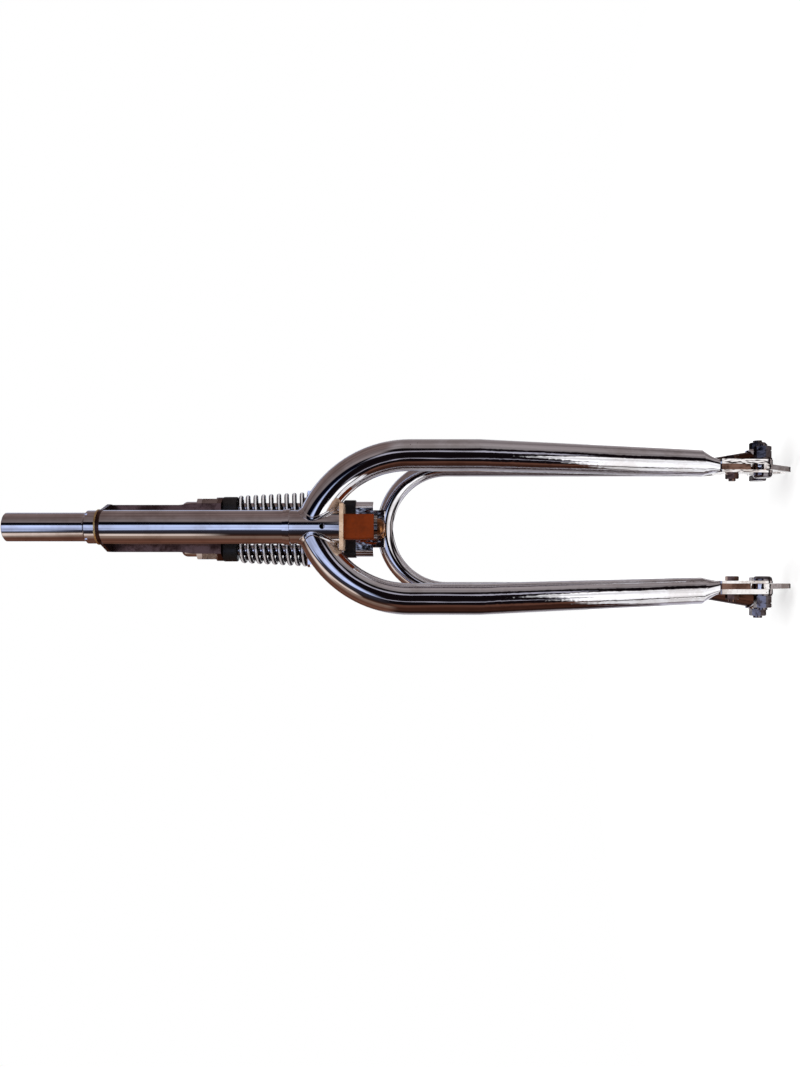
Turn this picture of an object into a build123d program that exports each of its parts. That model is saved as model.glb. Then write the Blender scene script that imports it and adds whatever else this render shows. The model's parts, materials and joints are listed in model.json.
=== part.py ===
from build123d import *
import math
import os

# Springer fork, in millimetres.  +Z runs up the steerer, +X points forward to the sprung
# fork, +Y is the rider's left.  The origin is on the steerer's axis at the crown race seat.

# ------------------------------------------------------------------ driving sizes

# steerer column, on the Z axis
steerer_d = 25.4
steerer_wall = 1.6
steerer_free = 71.5
steerer_bottom = -20.0
thread_depth = 0.2
thread_runout = 1.0
stem_wall = 2.45
stem_top = 162.0
vent_d = 5.0
vent_rise = 14.8
race_height = 3.0
race_lip = 1.1
collar_wall = 1.9
collar_height = 10.0
collar_slot = 3.0
brass_washer_rim = 1.05
brass_washer_thick = 1.5

# rear fork legs
leg_d = 28.0
leg_wall = 1.8
leg_spread = 63.5
crown_bend = 92.0
crown_end_z = -108.0
crown_skirt = 3.55
taper_start_z = -170.0
taper_end_d = 23.3
leg_pinch = 12.5
leg_toe_in = 3.0
leg_tip_rise = 41.5
leg_tip_width = 24.0
leg_tip_corner = 5.0

# plates at the leg ends
hub_width = 100.0
inner_plate_thick = 2.3
outer_plate_thick = 4.2
plate_corner = 2.0
plate_end_radius = 8.5
stay_bolt_d = 6.0
stay_bolt_rise = 27.0

# rockers and their pivots
rear_pivot_z = -420.0
rear_bolt_d = 8.0
rocker_thick = 4.5
rocker_end_radius = 9.5
rocker_bush_wall = 1.6
axle_slot = 10.2
axle_x = 19.0
axle_drop = 20.0
axle_boss_radius = 12.0
front_bolt_d = 8.0
boss_d = 17.0
boss_length = 17.0

# sprung front fork
travel = 24.0
front_x = 41.0
front_tube_d = 16.0
front_tube_wall = 1.5
front_spread = 57.0
flare_rise = 48.0
flare_bend = 60.0
yoke_end = 3.5
yoke_depth = 20.0
yoke_height = 16.0
yoke_corner = 4.0
saddle_web = 3.0
saddle_width = 34.0
saddle_depth = 10.0
pad_end = 7.0
pad_depth = 23.0
pad_height = 11.0
pad_corner = 5.0
pad_round = 1.5

# rods, springs and their guides
rod_spacing = 39.0
rod_low_d = 12.0
rod_up_d = 10.0
seat_rim = 0.55
seat_thick = 2.5
seat_collar = 5.0
seat_collar_gap = 1.0
spring_turns = 9
spring_wire = 4.2
spring_top_d = 23.5
spring_low_d = 30.5
shelf_top = -17.0
shelf_thick = 5.0
shelf_end = 13.5
shelf_edge = 15.0
shelf_back = 10.0
shelf_corner = 9.0
guide_bush_wall = 1.92
guide_flange_rim = 2.5
guide_flange_thick = 1.7
gusset_thick = 6.0
gusset_depth = 22.0
gusset_gap = 1.5

# spring bracket
bracket_plate = 3.0
bracket_rim = 0.6
bracket_reach = 12.0
bracket_width = 43.0
bracket_shoulder = 8.0
bracket_low_z = 64.0
bracket_flange = 4.0
bracket_ear_radius = 10.0
bracket_heel_radius = 1.0
bracket_flare = 1.5
bracket_flare_z = 90.0
bracket_flare_rise = 12.0
bracket_bead_d = 12.0
bracket_bead_rise = 2.5
bracket_bead_gap = 9.0
rubber_d = 21.0
rubber_height = 13.5
rubber_round = 1.2

# crown bottom plate and fender mount
crown_plate_width = 41.0
crown_plate_depth = 30.0
crown_plate_thick = 3.5
crown_plate_corner = 4.0
block_side = 22.0
block_height = 26.3
fender_washer_d = 20.0
fender_washer_thick = 3.0
fender_bolt_d = 8.0
fender_head_d = 15.0
fender_head_height = 6.5
fender_head_round = 5.2
plug_height = 14.0

# fasteners: width across flats, height
nut_m10 = (17.0, 8.0)
lock_m10 = (17.0, 5.0)
nut_m8 = (13.0, 6.5)
lock_m8 = (13.0, 4.0)
head_m8 = (13.0, 5.0)
nut_m6 = (10.0, 5.0)
head_m6 = (10.0, 4.0)
hex_bevel = 0.5
hex_turned_share = 0.9
bolt_tip = 2.0

# washers and round heads: diameter, height
washer_m10 = (20.0, 1.6)
washer_m8 = (16.0, 1.6)
button_head = (16.0, 4.0)
button_round = 2.8
cap_dome_radius = 6.0
cap_depth = 13.1
cap_end_wall = 1.0

# clearances
braze_gap = 0.05
slide_gap = 0.08
pivot_gap = 0.05
hole_gap = 0.15
side_gap = 0.3
bush_side_gap = 0.15
spring_end_gap = 0.1
pin_slack = 0.4
edge_break = 0.6

# how far a cutter runs past the face that it cuts through
past = 1.0

# ------------------------------------------------------------------ derived places

leg_r = leg_d / 2
arc_y = leg_spread - crown_bend
rod_y = rod_spacing / 2

# column: the steerer is a little smaller where the stem, bracket and collar cover it
steerer_r = steerer_d / 2
covered_r = steerer_r - thread_depth
stem_r = covered_r + braze_gap + stem_wall
leg_foot_z = crown_end_z + math.sqrt((crown_bend - leg_r)**2 - (stem_r - arc_y)**2)
stem_bottom = leg_foot_z - crown_skirt
vent_z = stem_bottom + vent_rise
bracket_top = stem_top + bracket_plate
collar_r = steerer_r + braze_gap + collar_wall
collar_low = bracket_top + brass_washer_thick
collar_top = collar_low + collar_height
steerer_top = collar_top + steerer_free

# plates and rockers: the hub fits between the rockers
rocker_y = hub_width / 2
rocker_out_y = rocker_y + rocker_thick
plate_gap_y = rocker_y - side_gap
inner_plate_y = plate_gap_y - inner_plate_thick
outer_plate_y = rocker_out_y + side_gap
plate_out_y = outer_plate_y + outer_plate_thick
tip_thick = plate_out_y - inner_plate_y
tip_y = (plate_out_y + inner_plate_y) / 2
taper_end_y = tip_y + leg_toe_in
leg_tip_z = rear_pivot_z + leg_tip_rise
taper_end_z = leg_tip_z + leg_pinch
stay_bolt_z = rear_pivot_z + stay_bolt_rise
axle_z = rear_pivot_z - axle_drop

# The front pivot climbs in a straight line while the rocker's hole swings on an arc: the
# arm is as long as puts the arc half each side of that line.
half_travel = travel / 2
arm_length = front_x + half_travel**2 / (4 * front_x)
arm_slack = arm_length - front_x
front_hole_x = front_x - arm_slack
front_pivot_z = rear_pivot_z - half_travel
front_hole_r = front_bolt_d / 2 + arm_slack + pin_slack
half_swing = math.asin(half_travel / arm_length)
flare_z = front_pivot_z + flare_rise
boss_near = rocker_out_y + washer_m8[1] + 2 * side_gap
boss_far = boss_near + boss_length
foot_y = (boss_near + boss_far) / 2

# guides and sprung fork: the pad meets the guides at the end of the travel
shelf_low = shelf_top - shelf_thick
shelf_reach = front_x + shelf_edge
guide_low = shelf_low - guide_flange_thick
guide_bush_r = rod_low_d / 2 + slide_gap + guide_bush_wall
pad_top = guide_low - side_gap - travel
yoke_top = pad_top - pad_height
yoke_low = yoke_top - yoke_height
arch_top_z = yoke_low - saddle_web - front_tube_d / 2
arch_z = arch_top_z - front_spread
gusset_reach = front_x - pad_depth / 2 - gusset_gap

# springs and rods
seat_low = shelf_top + side_gap
seat_top = seat_low + seat_thick
rubber_low = bracket_low_z - rubber_height
bracket_front = front_x - bracket_reach
bracket_web_x = bracket_front - bracket_plate
flange_top = bracket_low_z + bracket_flange
washer_low = flange_top + side_gap
nut_low = washer_low + washer_m10[1]
lock_low = nut_low + nut_m10[1]
cap_low = lock_low + lock_m10[1]
rod_top = cap_low + cap_depth

# fender mount
crown_plate_low = stem_bottom - crown_plate_thick
block_low = crown_plate_low - block_height
fender_washer_low = block_low - fender_washer_thick


# ------------------------------------------------------------------ helpers

def upright(radius, low, high, x=0.0, y=0.0):
    """Cylinder along Z from low to high."""
    return Pos(x, y, (low + high) / 2) * Cylinder(radius, high - low)


def crosswise(radius, near, far, x, z):
    """Cylinder along Y between the two distances from the middle plane."""
    return Pos(x, (near + far) / 2, z) * Rot(90, 0, 0) * Cylinder(radius, abs(far - near))


def slab(x0, x1, y0, y1, z0, z1):
    """Box between two corners."""
    place = Pos((x0 + x1) / 2, (y0 + y1) / 2, (z0 + z1) / 2)
    return place * Box(x1 - x0, y1 - y0, z1 - z0)


def bore(radius, low, high, x=0.0, y=0.0):
    """Cutter along Z for a hole that is open at both heights."""
    return upright(radius, low - past, high + past, x, y)


def cross_bore(radius, near, far, x, z):
    """Cutter along Y for a hole that is open at both distances."""
    return crosswise(radius, near - past, far + past, x, z)


def ring(outer, inner, low, high, x=0.0, y=0.0):
    """Upright washer or sleeve, given by its radii."""
    return upright(outer, low, high, x, y) - bore(inner, low, high, x, y)


def hexagon(flats, height):
    """Hexagon head standing on z = 0, its corners turned off at both faces."""
    corner = flats / math.sqrt(3)
    prism = extrude(RegularPolygon(flats / 2, 6, major_radius=False), height)
    turned = upright(corner, 0, height)
    rims = turned.edges().filter_by(GeomType.CIRCLE)
    return prism & chamfer(rims, hex_bevel, (corner - flats / 2) * hex_turned_share)


def hex_nut(flats, height, bolt_d):
    """Hexagon nut standing on z = 0, for a bolt of this diameter."""
    return hexagon(flats, height) - bore(bolt_d / 2 + braze_gap, 0, height)


def lay(shape, x, y, z, outward=1):
    """Turn a piece made along +Z to lie along Y, pointing outward (1) or inward (-1)."""
    return Pos(x, y, z) * Rot(-90 * outward, 0, 0) * shape


def other_side(shape):
    """The same piece on the right-hand side."""
    return mirror(shape, about=Plane.XZ)


def both(shape):
    """A left piece and its right-hand twin, as separate solids."""
    return Compound(children=[shape, other_side(shape)])


def group(*pieces):
    """Like pieces in one node."""
    return Compound(children=list(pieces))


def save(name, shape):
    """Write one node's file."""
    export_step(shape, f"parts/{name}.step")


def plate(outline_points, near, far):
    """Plate in the X-Z plane between two distances from the middle plane: the hull of
    circles, each given as (x, z, radius)."""
    rims = [Pos(x, z) * Circle(r).edge() for x, z, r in outline_points]
    face = make_hull(rims)
    flat = extrude(face, far - near)
    return Pos(0, far, 0) * Rot(90, 0, 0) * flat


# ------------------------------------------------------------------ steerer column

def steerer_tube():
    """Tube: full size above the collar, turned down to its thread where it is covered."""
    step = collar_top + thread_runout
    tube = upright(covered_r, steerer_bottom, step) + upright(steerer_r, step, steerer_top)
    tube = tube - bore(steerer_r - steerer_wall, steerer_bottom, steerer_top)
    rim = tube.edges().filter_by(GeomType.CIRCLE).group_by(Axis.Z)[-1]
    return chamfer(rim, edge_break)


def stem_tube():
    tube = ring(stem_r, covered_r + braze_gap, stem_bottom, stem_top)
    vent = Pos(-stem_r, 0, vent_z) * Rot(0, 90, 0) * Cylinder(vent_d / 2, stem_r)
    return tube - vent


def crown_race():
    inner = stem_r + braze_gap
    seat = ring(inner + race_lip, inner, -race_height, 0)
    land = ring(inner + race_lip / 2, inner, 0, race_height)
    return seat + land


def brass_washer():
    return ring(collar_r + brass_washer_rim, steerer_r + hole_gap, bracket_top, collar_low)


def steerer_collar():
    """Round nut with four notches for a hook spanner."""
    nut = upright(collar_r, collar_low, collar_top)
    nut = chamfer(nut.edges().filter_by(GeomType.CIRCLE).group_by(Axis.Z)[-1], edge_break * 2)
    nut = nut - bore(steerer_r + braze_gap, collar_low, collar_top)
    for turn in range(4):
        notch = slab(collar_r - collar_wall / 2, collar_r + past, -collar_slot / 2,
                     collar_slot / 2, collar_top - collar_slot, collar_top + past)
        nut = nut - Rot(0, 0, 45 + 90 * turn) * notch
    return nut


# ------------------------------------------------------------------ rear fork legs

def leg_bend(radius):
    """Bent upper stretch of a left leg, from the steerer's axis to the start of the taper."""
    start = math.acos(-arc_y / crown_bend)
    points = []
    for angle in (start, start / 2, 0):
        points.append((0, arc_y + crown_bend * math.cos(angle),
                       crown_end_z + crown_bend * math.sin(angle)))
    path = Wire([ThreePointArc(*points), Line(points[-1], (0, leg_spread, taper_start_z))])
    mouth = Plane(origin=path @ 0, z_dir=path % 0) * Circle(radius)
    return sweep(mouth, path=path)


def leg_taper(inset):
    top = Pos(0, leg_spread, taper_start_z) * Circle(leg_r - inset)
    low = Pos(0, taper_end_y, taper_end_z) * Circle(taper_end_d / 2 - inset)
    return loft([top, low], ruled=True)


def leg_outline():
    """Solid left leg before it is bored, with its pinched tip."""
    top = Pos(0, taper_end_y, taper_end_z) * Circle(taper_end_d / 2)
    tip = Pos(0, tip_y, leg_tip_z) * RectangleRounded(leg_tip_width, tip_thick, leg_tip_corner)
    return leg_bend(leg_r) + leg_taper(0) + loft([top, tip])


def fork_leg():
    """Left leg: a tube that meets the stem in a fish-mouth."""
    leg = leg_outline() - (leg_bend(leg_r - leg_wall) + leg_taper(leg_wall))
    leg = leg - upright(stem_r + braze_gap, stem_bottom - leg_d, leg_d)
    return leg - slab(-leg_d, leg_d, -leg_d * 2, 0, crown_end_z, leg_d)


def plate_rims():
    """Circles that the plates are drawn round: two corners at the leg's tip, and the pivot end."""
    side = leg_tip_width / 2 - plate_corner
    shoulder_z = leg_tip_z - plate_corner
    return [(-side, shoulder_z, plate_corner), (side, shoulder_z, plate_corner),
            (0, rear_pivot_z, plate_end_radius)]


def dropout_plate(near, thick):
    """Left plate from the leg's tip down round the rear pivot."""
    far = near + thick
    body = plate(plate_rims(), near, far)
    body = body - cross_bore(rear_bolt_d / 2 + hole_gap, near, far, 0, rear_pivot_z)
    return body - cross_bore(stay_bolt_d / 2 + hole_gap, near, far, 0, stay_bolt_z)


def dropout_spacer():
    """Left block between the two plates, clear of the rocker at both ends of its swing."""
    half = leg_tip_width / 2
    swept = rocker_end_radius / math.cos(half_swing) + half * math.tan(half_swing)
    low = rear_pivot_z + swept + 2 * side_gap
    block = slab(-half, half, plate_gap_y, outer_plate_y, low, leg_tip_z)
    block = block & plate(plate_rims(), plate_gap_y, outer_plate_y)
    return block - cross_bore(stay_bolt_d / 2 + hole_gap, plate_gap_y, outer_plate_y,
                              0, stay_bolt_z)


def stay_hardware():
    """Bolts for the fender stays: both heads face right, both nuts face left."""
    flats, head = head_m6
    nut_flats, nut_height = nut_m6
    bolts = []
    nuts = []
    for low_y, high_y in ((inner_plate_y, plate_out_y), (-plate_out_y, -inner_plate_y)):
        end_y = high_y + nut_height + bolt_tip
        bolt = crosswise(stay_bolt_d / 2, low_y, end_y, 0, stay_bolt_z)
        bolts.append(bolt + lay(hexagon(flats, head), 0, low_y, stay_bolt_z, -1))
        nuts.append(lay(hex_nut(nut_flats, nut_height, stay_bolt_d), 0, high_y, stay_bolt_z))
    return group(*bolts), group(*nuts)


# ------------------------------------------------------------------ rear pivots

def rear_pivot_bolt():
    """Left pivot bolt: low button head inside, threaded end outside."""
    head_d, head_height = button_head
    head = upright(head_d / 2, 0, head_height)
    head = fillet(head.edges().filter_by(GeomType.CIRCLE).group_by(Axis.Z)[-1], button_round)
    end_y = plate_out_y + washer_m8[1] + nut_m8[1] + lock_m8[1] + bolt_tip
    shank = crosswise(rear_bolt_d / 2, inner_plate_y, end_y, 0, rear_pivot_z)
    return shank + lay(head, 0, inner_plate_y, rear_pivot_z, -1)


def flat_washer_m8(near, x, z):
    """Washer that lies against the face at this distance from the middle plane."""
    far = near + washer_m8[1]
    disc = crosswise(washer_m8[0] / 2, near, far, x, z)
    return disc - cross_bore(rear_bolt_d / 2 + hole_gap, near, far, x, z)


def rear_pivot_washer():
    return flat_washer_m8(plate_out_y, 0, rear_pivot_z)


def rear_pivot_nut():
    nut = hex_nut(*nut_m8, rear_bolt_d)
    return lay(nut, 0, plate_out_y + washer_m8[1], rear_pivot_z)


def rear_pivot_lock_nut():
    nut = hex_nut(*lock_m8, rear_bolt_d)
    return lay(nut, 0, plate_out_y + washer_m8[1] + nut_m8[1], rear_pivot_z)


# ------------------------------------------------------------------ rockers

def rocker():
    """Left rocker plate: rear pivot, front pivot and an axle slot open at the bottom."""
    rims = [(0, rear_pivot_z, rocker_end_radius), (front_hole_x, front_pivot_z, rocker_end_radius),
            (axle_x, axle_z, axle_boss_radius)]
    body = plate(rims, rocker_y, rocker_out_y)
    bush_r = rear_bolt_d / 2 + rocker_bush_wall
    body = body - cross_bore(bush_r, rocker_y, rocker_out_y, 0, rear_pivot_z)
    body = body - cross_bore(front_hole_r, rocker_y, rocker_out_y, front_hole_x, front_pivot_z)
    body = body - cross_bore(axle_slot / 2, rocker_y, rocker_out_y, axle_x, axle_z)
    return body - slab(axle_x - axle_slot / 2, axle_x + axle_slot / 2, rocker_y - past,
                       rocker_out_y + past, axle_z - axle_boss_radius - past, axle_z)


def rocker_bush():
    """Left bush pressed in the rocker, a little longer than the rocker is thick."""
    near = plate_gap_y + bush_side_gap
    far = outer_plate_y - bush_side_gap
    sleeve = crosswise(rear_bolt_d / 2 + rocker_bush_wall, near, far, 0, rear_pivot_z)
    return sleeve - cross_bore(rear_bolt_d / 2 + pivot_gap, near, far, 0, rear_pivot_z)


# ------------------------------------------------------------------ crown

def crown_plate():
    """Plate that closes the stem and bridges the legs."""
    half_x = crown_plate_depth / 2
    half_y = crown_plate_width / 2
    body = slab(-half_x, half_x, -half_y, half_y, crown_plate_low, stem_bottom)
    body = fillet(body.edges().filter_by(Axis.Z), crown_plate_corner)
    legs = leg_outline()
    body = body - legs - other_side(legs)
    return body - bore(fender_bolt_d / 2 + hole_gap, crown_plate_low, stem_bottom)


def fender_block():
    half = block_side / 2
    body = slab(-half, half, -half, half, block_low, crown_plate_low)
    body = chamfer(body.edges().filter_by(Axis.Z), edge_break * 2)
    return body - bore(fender_bolt_d / 2 + hole_gap, block_low, crown_plate_low)


def fender_washer():
    return ring(fender_washer_d / 2, fender_bolt_d / 2 + hole_gap, fender_washer_low, block_low)


def fender_bolt():
    """Dome-headed bolt up through washer, block and plate into the plug in the stem."""
    low = fender_washer_low - fender_head_height
    head = upright(fender_head_d / 2, low, fender_washer_low)
    head = fillet(head.edges().filter_by(GeomType.CIRCLE).group_by(Axis.Z)[0], fender_head_round)
    shank = upright(fender_bolt_d / 2, fender_washer_low, stem_bottom + plug_height)
    return head + shank


def stem_plug():
    """Threaded plug inside the stem."""
    return ring(covered_r, fender_bolt_d / 2 + braze_gap, stem_bottom, stem_bottom + plug_height)


def guide_shelf():
    """Shelf in front of the crown that carries the rod guides, with one gusset below."""
    half = rod_y + shelf_end
    body = slab(shelf_back, shelf_reach, -half, half, shelf_low, shelf_top)
    corners = body.edges().filter_by(Axis.Z).group_by(Axis.X)[-1]
    body = fillet(corners, shelf_corner)
    profile = Polyline((shelf_back, shelf_low), (gusset_reach, shelf_low),
                       (stem_r, shelf_low - gusset_depth), (shelf_back, shelf_low - gusset_depth),
                       close=True)
    gusset = extrude(Plane.XZ * make_face(profile), gusset_thick / 2, both=True)
    body = body + gusset
    body = body - upright(stem_r + braze_gap, stem_bottom - leg_d, leg_d)
    legs = leg_outline()
    body = body - legs - other_side(legs)
    for side in (-1, 1):
        body = body - bore(guide_bush_r + braze_gap, shelf_low, shelf_top, front_x, side * rod_y)
    solids = sorted(body.solids(), key=lambda piece: piece.volume)
    return solids[-1]


def guide_bush(side):
    """Sleeve in the shelf with a flange under it."""
    y = side * rod_y
    sleeve = upright(guide_bush_r, guide_low, shelf_top, front_x, y)
    rim = upright(guide_bush_r + guide_flange_rim, guide_low, shelf_low, front_x, y)
    return sleeve + rim - bore(rod_low_d / 2 + slide_gap, guide_low, shelf_top, front_x, y)


# ------------------------------------------------------------------ spring bracket

def bracket_top_plate():
    """Flat top with a round back that sits on the stem."""
    half = bracket_width / 2
    rear = stem_r + bracket_rim
    shoulder_x = bracket_web_x - bracket_shoulder
    outline = Polyline((0, -rear), (shoulder_x, -half), (bracket_front, -half),
                       (bracket_front, half), (shoulder_x, half), (0, rear), close=True)
    top = Pos(0, 0, stem_top) * extrude(make_face(outline), bracket_plate)
    return top + upright(rear, stem_top, bracket_top)


def bracket_web():
    """Upright plate, a little wider at its foot."""
    half = bracket_width / 2
    wide = half + bracket_flare
    neck_z = bracket_flare_z + bracket_flare_rise
    outline = Polyline((-half, bracket_top), (half, bracket_top), (half, neck_z),
                       (wide, bracket_flare_z), (wide, bracket_low_z), (-wide, bracket_low_z),
                       (-wide, bracket_flare_z), (-half, neck_z), close=True)
    return extrude(Plane.YZ.offset(bracket_web_x) * make_face(outline), bracket_plate)


def bracket_low_flange():
    """Forward flange with an ear round each rod."""
    heel_x = bracket_web_x + bracket_heel_radius
    heel_y = bracket_width / 2 + bracket_flare - bracket_heel_radius
    ears = [Pos(front_x, side * rod_y) * Circle(bracket_ear_radius).edge() for side in (-1, 1)]
    heels = [Pos(heel_x, side * heel_y) * Circle(bracket_heel_radius).edge() for side in (-1, 1)]
    return Pos(0, 0, bracket_low_z) * extrude(make_hull(ears + heels), bracket_flange)


def bracket_bead():
    """Pressed stiffening bead down the middle of the web."""
    radius = bracket_bead_d / 2
    low = bracket_flare_z
    high = bracket_top - bracket_bead_gap - radius
    sunk_x = bracket_front + bracket_bead_rise - radius
    bead = upright(radius, low, high) + Pos(0, 0, high) * Sphere(radius)
    bead = bead + Pos(0, 0, low) * Sphere(radius)
    front = slab(bracket_front, bracket_front + bracket_bead_d, -radius, radius,
                 bracket_low_z, bracket_top)
    return Pos(sunk_x, 0, 0) * bead & front


def spring_bracket():
    """Bent plate: top flange on the stem, web down the front, bottom flange for the rods."""
    body = bracket_top_plate() + bracket_web()
    corner = body.edges().filter_by(Axis.Y).sort_by(lambda e: e.center().X + e.center().Z)[-1]
    body = fillet(corner, bracket_plate)
    body = body + bracket_low_flange() + bracket_bead()
    body = body - bore(steerer_r + hole_gap, stem_top, bracket_top)
    for side in (-1, 1):
        body = body - bore(rod_up_d / 2 + slide_gap, bracket_low_z, flange_top,
                           front_x, side * rod_y)
    return body


def rubber_bush(side):
    """Black rubber seat between the bracket's flange and the spring."""
    y = side * rod_y
    body = upright(rubber_d / 2, rubber_low, bracket_low_z, front_x, y)
    body = fillet(body.edges().filter_by(GeomType.CIRCLE), rubber_round)
    return body - bore(rod_up_d / 2 + side_gap, rubber_low, bracket_low_z, front_x, y)


# ------------------------------------------------------------------ sprung front fork

def front_path():
    """Centre line of the front fork's tube, from the left pivot over the arch to the right."""
    points = [(front_x, foot_y, front_pivot_z), (front_x, front_spread, flare_z),
              (front_x, front_spread, arch_z)]
    foot = FilletPolyline(*points, radius=flare_bend)
    arch = ThreePointArc((front_x, front_spread, arch_z), (front_x, 0, arch_top_z),
                         (front_x, -front_spread, arch_z))
    back = [(x, -y, z) for x, y, z in reversed(points)]
    other_foot = FilletPolyline(*back, radius=flare_bend)
    return Wire([*foot.edges(), arch, *other_foot.edges()])


def front_tube_solid(radius):
    path = front_path()
    mouth = Plane(origin=path @ 0, z_dir=path % 0) * Circle(radius)
    return sweep(mouth, path=path)


def front_fork_tube():
    """Hollow tube, its feet cut off round the pivot bosses."""
    tube = front_tube_solid(front_tube_d / 2) - front_tube_solid(front_tube_d / 2 - front_tube_wall)
    near = boss_near - boss_length
    far = boss_far + boss_length
    hole = crosswise(boss_d / 2 + braze_gap, near, far, front_x, front_pivot_z)
    below = slab(front_x - boss_d, front_x + boss_d, near, far,
                 front_pivot_z - boss_d, front_pivot_z)
    cut = hole + below
    return tube - cut - other_side(cut)


def pivot_boss():
    boss = crosswise(boss_d / 2, boss_near, boss_far, front_x, front_pivot_z)
    boss = chamfer(boss.edges().filter_by(GeomType.CIRCLE), edge_break)
    return boss - cross_bore(front_bolt_d / 2 + braze_gap, boss_near, boss_far,
                             front_x, front_pivot_z)


def front_pivot_bolt():
    """Left front pivot bolt: hexagon head inside the rocker, nut outside the boss."""
    flats, head = head_m8
    head_y = rocker_y - side_gap
    end_y = boss_far + nut_m8[1] + bolt_tip
    shank = crosswise(front_bolt_d / 2, head_y, end_y, front_x, front_pivot_z)
    return shank + lay(hexagon(flats, head), front_x, head_y, front_pivot_z, -1)


def front_pivot_washer():
    return flat_washer_m8(boss_near - washer_m8[1], front_x, front_pivot_z)


def front_pivot_nut():
    return lay(hex_nut(*nut_m8, front_bolt_d), front_x, boss_far, front_pivot_z)


def yoke():
    """Block on top of the arch, its underside hollowed to sit on the tube."""
    half = rod_y + yoke_end
    body = slab(front_x - yoke_depth / 2, front_x + yoke_depth / 2, -half, half, yoke_low, yoke_top)
    body = fillet(body.edges().filter_by(Axis.Z), yoke_corner)
    saddle = slab(front_x - yoke_depth / 2, front_x + yoke_depth / 2, -saddle_width / 2,
                  saddle_width / 2, yoke_low - saddle_depth, yoke_low)
    body = body + saddle
    body = body - front_tube_solid(front_tube_d / 2 + braze_gap)
    for side in (-1, 1):
        body = body - bore(rod_low_d / 2 + braze_gap, yoke_low - saddle_depth, yoke_top,
                           front_x, side * rod_y)
    return body


def bump_pad():
    """Rubber pad that meets the rod guides at the end of the travel."""
    half = rod_y + pad_end
    body = slab(front_x - pad_depth / 2, front_x + pad_depth / 2, -half, half, yoke_top, pad_top)
    body = fillet(body.edges().filter_by(Axis.Z), pad_corner)
    body = fillet(body.edges().group_by(Axis.Z)[-1], pad_round)
    for side in (-1, 1):
        body = body - bore(rod_low_d / 2 + hole_gap, yoke_top, pad_top, front_x, side * rod_y)
    return body


def spring_rod(side):
    """Stepped rod: thick through the yoke and guide, thin through spring and bracket."""
    low = upright(rod_low_d / 2, yoke_low, seat_low, front_x, side * rod_y)
    high = upright(rod_up_d / 2, seat_low, rod_top, front_x, side * rod_y)
    return low + high


def spring_seat(side):
    """Lower spring seat on the rod's shoulder."""
    y = side * rod_y
    collar_high = seat_top + seat_collar
    disc = upright(spring_low_d / 2 + seat_rim, seat_low, seat_top, front_x, y)
    inside_r = spring_low_d / 2 - spring_wire - seat_collar_gap
    body = disc + upright(inside_r, seat_top, collar_high, front_x, y)
    return body - bore(rod_up_d / 2 + braze_gap, seat_low, collar_high, front_x, y)


def coil_spring(side):
    """Conical coil spring, wider at the bottom, set between its two seats."""
    low_r = (spring_low_d - spring_wire) / 2
    top_r = (spring_top_d - spring_wire) / 2
    rise = rubber_low - seat_top - spring_wire - 2 * spring_end_gap
    slope = math.degrees(math.atan((low_r - top_r) / rise))
    foot = seat_top + spring_end_gap + spring_wire / 2
    line = Helix(rise / spring_turns, rise, low_r, center=(front_x, side * rod_y, foot),
                 cone_angle=-slope)
    mouth = Plane(origin=line @ 0, z_dir=line % 0) * Circle(spring_wire / 2)
    return sweep(mouth, path=line)


def rod_washer(side):
    return ring(washer_m10[0] / 2, rod_up_d / 2 + hole_gap, washer_low, nut_low,
                front_x, side * rod_y)


def rod_nut(side):
    return Pos(front_x, side * rod_y, nut_low) * hex_nut(*nut_m10, rod_up_d)


def rod_lock_nut(side):
    return Pos(front_x, side * rod_y, lock_low) * hex_nut(*lock_m10, rod_up_d)


def rod_cap_nut(side):
    """Domed nut over the rod's end."""
    flats, height = lock_m10
    dome_z = cap_depth + cap_end_wall
    dome = Pos(0, 0, dome_z) * Sphere(cap_dome_radius)
    body = hexagon(flats, height) + upright(cap_dome_radius, height, dome_z) + dome
    body = body - upright(rod_up_d / 2 + braze_gap, -past, cap_depth + braze_gap)
    return Pos(front_x, side * rod_y, cap_low) * body


# ------------------------------------------------------------------ write the nodes

os.makedirs("parts", exist_ok=True)

save("steerer_tube", steerer_tube())
save("stem_tube", stem_tube())
save("crown_race", crown_race())
save("brass_washer", brass_washer())
save("steerer_collar", steerer_collar())
save("crown_plate", crown_plate())
save("fender_block", fender_block())
save("fender_washer", fender_washer())
save("fender_bolt", fender_bolt())
save("stem_plug", stem_plug())
save("guide_shelf", guide_shelf())
save("spring_bracket", spring_bracket())

stay_bolts, stay_nuts = stay_hardware()
save("stay_bolts", stay_bolts)
save("stay_nuts", stay_nuts)
save("rear_pivot_bolts", both(rear_pivot_bolt()))
save("rear_pivot_washers", both(rear_pivot_washer()))
save("rear_pivot_nuts", both(rear_pivot_nut()))
save("rear_pivot_lock_nuts", both(rear_pivot_lock_nut()))

save("front_fork_tube", front_fork_tube())
save("front_yoke", yoke())
save("bump_pad", bump_pad())
save("front_pivot_bolts", both(front_pivot_bolt()))
save("front_pivot_washers", both(front_pivot_washer()))
save("front_pivot_nuts", both(front_pivot_nut()))
save("rod_washers", group(rod_washer(1), rod_washer(-1)))
save("rod_nuts", group(rod_nut(1), rod_nut(-1)))
save("rod_lock_nuts", group(rod_lock_nut(1), rod_lock_nut(-1)))
save("rod_cap_nuts", group(rod_cap_nut(1), rod_cap_nut(-1)))

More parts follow.
